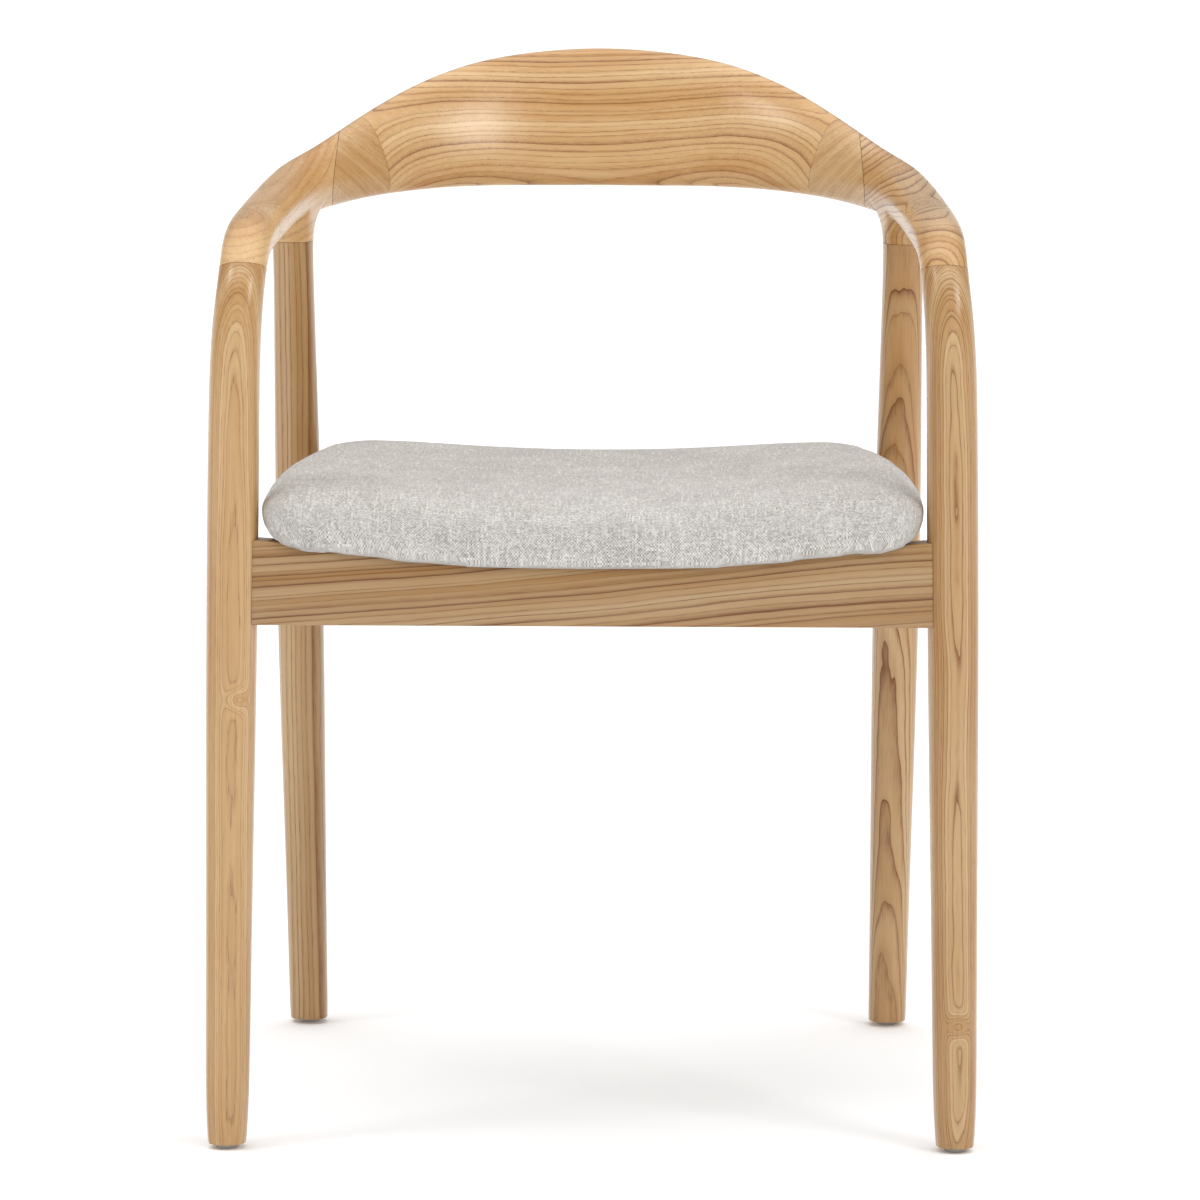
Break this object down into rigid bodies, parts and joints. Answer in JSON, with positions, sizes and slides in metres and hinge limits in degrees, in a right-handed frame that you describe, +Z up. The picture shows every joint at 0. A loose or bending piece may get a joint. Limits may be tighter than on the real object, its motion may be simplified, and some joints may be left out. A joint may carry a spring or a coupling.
{
  "type": "armchair",
  "caption": "Wooden armchair whose front legs, arms and curved backrest flow into one another, with raked rear legs and an upholstered saddle seat.",
  "frame": {"origin": "on the floor under the middle of the chair's bounding box", "axes": "the chair faces -Y, the sitter's left is +X, +Z is up"},
  "size_m": [0.5598, 0.4942, 0.7742],
  "materials": {
    "frame_wood": "pale straight-grained hardwood, fine sanded, satin oil or lacquer",
    "dowel_wood": "fluted hardwood dowels, glued",
    "block_wood": "plain sawn hardwood, unfinished",
    "plywood": "moulded plywood",
    "seat_fabric": "oatmeal plain weave with light slubs, matt",
    "seat_foam": "cut polyurethane foam",
    "dust_cloth": "thin black non-woven cloth",
    "screw_steel": "zinc plated",
    "glide_plastic": "grey moulded plastic on a nail"
  },
  "bodies": {
    "root": {"arm_inner_block_left": "frame_wood", "arm_inner_block_right": "frame_wood", "arm_left": "frame_wood", "arm_right": "frame_wood", "backrest": "frame_wood", "backrest_dowel_lower_left": "dowel_wood", "backrest_dowel_lower_right": "dowel_wood", "backrest_dowel_upper_left": "dowel_wood", "backrest_dowel_upper_right": "dowel_wood", "block_screw_front_left": "screw_steel", "block_screw_front_right": "screw_steel", "block_screw_rear_left": "screw_steel", "block_screw_rear_right": "screw_steel", "corner_block_front_left": "block_wood", "corner_block_front_right": "block_wood", "corner_block_rear_left": "block_wood", "corner_block_rear_right": "block_wood", "dust_cover": "dust_cloth", "front_leg_left": "frame_wood", "front_leg_right": "frame_wood", "front_rail": "frame_wood", "front_rail_dowel_lower_left": "dowel_wood", "front_rail_dowel_lower_right": "dowel_wood", "front_rail_dowel_upper_left": "dowel_wood", "front_rail_dowel_upper_right": "dowel_wood", "glide_front_leg_left": "glide_plastic", "glide_front_leg_right": "glide_plastic", "glide_rear_leg_left": "glide_plastic", "glide_rear_leg_right": "glide_plastic", "hip_dowel_left": "dowel_wood", "hip_dowel_right": "dowel_wood", "knee_dowel_left": "dowel_wood", "knee_dowel_right": "dowel_wood", "rear_leg_left": "frame_wood", "rear_leg_right": "frame_wood", "rear_rail": "frame_wood", "rear_rail_dowel_lower_left": "dowel_wood", "rear_rail_dowel_lower_right": "dowel_wood", "rear_rail_dowel_upper_left": "dowel_wood", "rear_rail_dowel_upper_right": "dowel_wood", "seat_board": "plywood", "seat_cover": "seat_fabric", "seat_foam": "seat_foam", "seat_screw_front_left": "screw_steel", "seat_screw_front_right": "screw_steel", "seat_screw_rear_left": "screw_steel", "seat_screw_rear_right": "screw_steel", "side_rail_front_dowel_lower_left": "dowel_wood", "side_rail_front_dowel_lower_right": "dowel_wood", "side_rail_front_dowel_upper_left": "dowel_wood", "side_rail_front_dowel_upper_right": "dowel_wood", "side_rail_left": "frame_wood", "side_rail_rear_dowel_lower_left": "dowel_wood", "side_rail_rear_dowel_lower_right": "dowel_wood", "side_rail_rear_dowel_upper_left": "dowel_wood", "side_rail_rear_dowel_upper_right": "dowel_wood", "side_rail_right": "frame_wood"}
  },
  "joints": []
}
